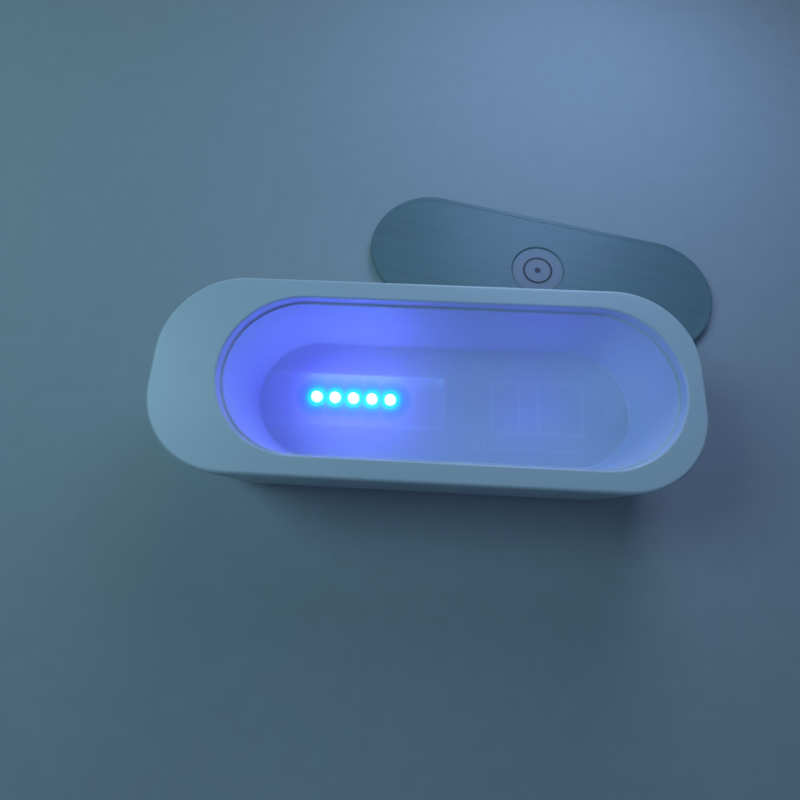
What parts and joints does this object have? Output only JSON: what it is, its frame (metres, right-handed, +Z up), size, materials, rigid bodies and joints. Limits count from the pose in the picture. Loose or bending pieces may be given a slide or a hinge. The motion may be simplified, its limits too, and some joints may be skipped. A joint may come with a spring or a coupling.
{
  "type": "toothbrush sanitizer",
  "caption": "White oblong tank for a toothbrush with a row of ultraviolet LEDs in its floor, on rubber feet, and a loose frosted lid beside it.",
  "frame": {"origin": "on the table, below the middle of the bounding box of the housing and the lid lying behind it", "axes": "+X along the housing, from the shoulder with the socket to the other end; +Y from the housing to the lid; +Z up"},
  "size_m": [0.2852, 0.181, 0.056],
  "materials": {
    "white_shell": "satin",
    "white_button": "satin",
    "frosted_lid": "frosted",
    "badge_ink": "printed, matt",
    "led_lens": "clear epoxy, lit",
    "foot_rubber": "matt",
    "screw_steel": "zinc plated",
    "board_laminate": "solder mask",
    "resistor_ceramic": "matt",
    "black_epoxy": "moulded",
    "ferrite": "matt",
    "connector_nylon": "moulded",
    "socket_steel": "drawn",
    "socket_tongue": "moulded",
    "cell_foil": "pouch foil",
    "foam_tape": "foam",
    "red_insulation": "silicone",
    "black_insulation": "silicone"
  },
  "bodies": {
    "base": {"housing": "white_shell", "base_cover": "white_shell", "foot_front_left": "foot_rubber", "foot_front_right": "foot_rubber", "foot_rear_left": "foot_rubber", "foot_rear_right": "foot_rubber", "base_screw_1": "screw_steel", "base_screw_2": "screw_steel", "base_screw_3": "screw_steel", "base_screw_4": "screw_steel", "uv_led_1": "led_lens", "uv_led_2": "led_lens", "uv_led_3": "led_lens", "uv_led_4": "led_lens", "uv_led_5": "led_lens", "led_board": "board_laminate", "led_resistor_1": "resistor_ceramic", "led_resistor_2": "resistor_ceramic", "led_resistor_3": "resistor_ceramic", "led_resistor_4": "resistor_ceramic", "led_resistor_5": "resistor_ceramic", "led_connector": "connector_nylon", "control_board": "board_laminate", "control_screw_1": "screw_steel", "control_screw_2": "screw_steel", "control_chip": "black_epoxy", "power_inductor": "ferrite", "control_connector": "connector_nylon", "battery_connector": "connector_nylon", "usb_shell": "socket_steel", "usb_tongue": "socket_tongue", "tact_switch": "black_epoxy", "battery_cell": "cell_foil", "battery_pad": "foam_tape", "led_lead_positive": "red_insulation", "led_lead_negative": "black_insulation", "battery_lead_positive": "red_insulation", "battery_lead_negative": "black_insulation"},
    "button": {"power_button": "white_button"},
    "loose_lid": {"lid": "frosted_lid", "lid_badge": "badge_ink"}
  },
  "joints": [
    {"name": "button_press", "type": "slide", "parent": "base", "child": "button", "axis": [1, 0, 0], "range_m": [0, 0.0005], "stiffness_N_per_m": 1500},
    {"name": "lid_lift", "type": "slide", "parent": "base", "child": "loose_lid", "axis": [0, 0, 1], "range_m": [0, 0.12]}
  ]
}
